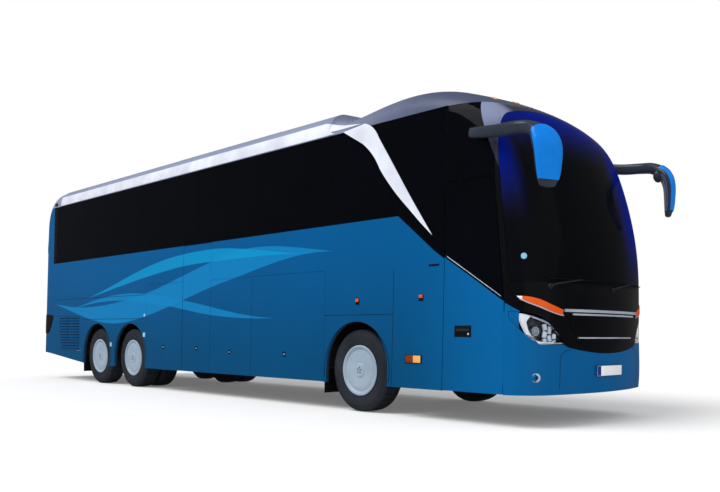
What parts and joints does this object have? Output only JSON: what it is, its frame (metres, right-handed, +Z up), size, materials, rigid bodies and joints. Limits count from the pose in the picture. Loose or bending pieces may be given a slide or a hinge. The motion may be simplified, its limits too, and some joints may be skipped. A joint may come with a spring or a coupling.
{
  "type": "coach bus",
  "caption": "Three-axle high-deck touring coach with bonded side glass, plug-in luggage flaps, hinged doors, steering front wheels and twin drive wheels.",
  "frame": {"origin": "on the ground, midway between the tail and the mirror heads, on the centre line", "axes": "+X forward, +Y to the vehicle's left, +Z up"},
  "size_m": [13.1974, 2.8242, 3.9739],
  "materials": {
    "paint_blue": "gloss",
    "black_gloss": "gloss",
    "glass_dark": "tinted",
    "aluminium": "satin",
    "roof_paint": "gloss",
    "steel_dark": "satin",
    "tyre": "matt",
    "wheel_silver": "satin",
    "lamp_clear": "clear",
    "lamp_red": "gloss",
    "seat_fabric": "woven",
    "plastic_dark": "matt",
    "floor_lino": "matt",
    "mirror_shell": "gloss",
    "cast_iron": "cast"
  },
  "bodies": {
    "body": {"underframe": "steel_dark", "cabin_floor": "floor_lino", "side_wall_right": "paint_blue", "side_wall_left": "paint_blue", "side_glass_right": "glass_dark", "side_glass_left": "glass_dark", "roof_panel": "roof_paint", "roof_aircon": "roof_paint", "front_body": "paint_blue", "front_mask": "black_gloss", "cab_frame": "black_gloss", "headlamps": "lamp_clear", "windscreen": "glass_dark", "wipers": "plastic_dark", "rear_mask": "paint_blue", "rear_window": "glass_dark", "tail_lamps": "lamp_red", "roofline_trim": "aluminium", "mirrors": "mirror_shell", "front_axle": "cast_iron", "rear_axles": "cast_iron", "engine_block": "cast_iron", "seats": "seat_fabric", "dashboard": "plastic_dark"},
    "flap_right_rear": {"flap_right_rear": "paint_blue"},
    "flap_right_middle": {"flap_right_middle": "paint_blue"},
    "flap_right_front": {"flap_right_front": "paint_blue"},
    "flap_left_rear": {"flap_left_rear": "paint_blue"},
    "flap_left_middle": {"flap_left_middle": "paint_blue"},
    "flap_left_front": {"flap_left_front": "paint_blue"},
    "radiator_flap": {"radiator_flap": "paint_blue"},
    "mid_door": {"mid_door": "paint_blue"},
    "front_door": {"front_door": "paint_blue", "front_door_glass": "glass_dark"},
    "engine_lid": {"engine_lid": "paint_blue"},
    "roof_hatch_front": {"roof_hatch_front": "roof_paint"},
    "roof_hatch_rear": {"roof_hatch_rear": "roof_paint"},
    "knuckle_right": {"knuckle_right": "cast_iron"},
    "front_wheel_right": {"front_wheel_right": "wheel_silver"},
    "drive_wheel_right": {"drive_wheel_right": "wheel_silver"},
    "tag_wheel_right": {"tag_wheel_right": "wheel_silver"},
    "knuckle_left": {"knuckle_left": "cast_iron"},
    "front_wheel_left": {"front_wheel_left": "wheel_silver"},
    "drive_wheel_left": {"drive_wheel_left": "wheel_silver"},
    "tag_wheel_left": {"tag_wheel_left": "wheel_silver"}
  },
  "joints": [
    {"name": "flap_right_rear_hinge", "type": "hinge", "parent": "body", "child": "flap_right_rear", "pos_m": [-1.255, -1.24383, 1.797], "axis": [-1, 0, 0], "range_deg": [0, 95]},
    {"name": "flap_right_middle_hinge", "type": "hinge", "parent": "body", "child": "flap_right_middle", "pos_m": [0.755, -1.24383, 1.797], "axis": [-1, 0, 0], "range_deg": [0, 95]},
    {"name": "flap_right_front_hinge", "type": "hinge", "parent": "body", "child": "flap_right_front", "pos_m": [2.14, -1.24383, 1.797], "axis": [-1, 0, 0], "range_deg": [0, 95]},
    {"name": "flap_left_rear_hinge", "type": "hinge", "parent": "body", "child": "flap_left_rear", "pos_m": [-1.08, 1.24383, 1.797], "axis": [1, 0, 0], "range_deg": [0, 95]},
    {"name": "flap_left_middle_hinge", "type": "hinge", "parent": "body", "child": "flap_left_middle", "pos_m": [0.505, 1.24383, 1.797], "axis": [1, 0, 0], "range_deg": [0, 95]},
    {"name": "flap_left_front_hinge", "type": "hinge", "parent": "body", "child": "flap_left_front", "pos_m": [2.14, 1.24383, 1.797], "axis": [1, 0, 0], "range_deg": [0, 95]},
    {"name": "radiator_flap_hinge", "type": "hinge", "parent": "body", "child": "radiator_flap", "pos_m": [-5.085, -1.25482, 1.287], "axis": [-1, 0, 0], "range_deg": [0, 80]},
    {"name": "mid_door_hinge", "type": "hinge", "parent": "body", "child": "mid_door", "pos_m": [0.197, -1.261, 1], "axis": [0, 0.0215, 0.9998], "range_deg": [0, 90]},
    {"name": "front_door_hinge", "type": "hinge", "parent": "body", "child": "front_door", "pos_m": [5.913, -1.25773, 0.85], "axis": [0, 0.0215, 0.9998], "range_deg": [0, 90]},
    {"name": "engine_lid_hinge", "type": "hinge", "parent": "body", "child": "engine_lid", "pos_m": [-6.57957, 0, 1.883], "axis": [0, 1, 0], "range_deg": [0, 85]},
    {"name": "roof_hatch_front_hinge", "type": "hinge", "parent": "body", "child": "roof_hatch_front", "pos_m": [1.8, 0, 3.928], "axis": [0, -1, 0], "range_deg": [0, 60]},
    {"name": "roof_hatch_rear_hinge", "type": "hinge", "parent": "body", "child": "roof_hatch_rear", "pos_m": [-3, 0, 3.928], "axis": [0, -1, 0], "range_deg": [0, 60]},
    {"name": "steering_right", "type": "hinge", "parent": "body", "child": "knuckle_right", "pos_m": [3.6, -0.86, 0.52], "axis": [0, 0, 1], "range_deg": [-45, 45]},
    {"name": "front_wheel_right_spin", "type": "hinge", "parent": "knuckle_right", "child": "front_wheel_right", "pos_m": [3.6, -1.06, 0.52], "axis": [0, 1, 0], "continuous": true},
    {"name": "drive_wheel_right_spin", "type": "hinge", "parent": "body", "child": "drive_wheel_right", "pos_m": [-2.45, -1.06, 0.52], "axis": [0, 1, 0], "continuous": true},
    {"name": "tag_wheel_right_spin", "type": "hinge", "parent": "body", "child": "tag_wheel_right", "pos_m": [-3.79, -1.06, 0.52], "axis": [0, 1, 0], "continuous": true},
    {"name": "steering_left", "type": "hinge", "parent": "body", "child": "knuckle_left", "pos_m": [3.6, 0.86, 0.52], "axis": [0, 0, 1], "range_deg": [-45, 45]},
    {"name": "front_wheel_left_spin", "type": "hinge", "parent": "knuckle_left", "child": "front_wheel_left", "pos_m": [3.6, 1.06, 0.52], "axis": [0, 1, 0], "continuous": true},
    {"name": "drive_wheel_left_spin", "type": "hinge", "parent": "body", "child": "drive_wheel_left", "pos_m": [-2.45, 1.06, 0.52], "axis": [0, 1, 0], "continuous": true},
    {"name": "tag_wheel_left_spin", "type": "hinge", "parent": "body", "child": "tag_wheel_left", "pos_m": [-3.79, 1.06, 0.52], "axis": [0, 1, 0], "continuous": true}
  ],
  "couplings": [
    {"joint": "steering_left", "follows": "steering_right", "ratio": 1}
  ]
}
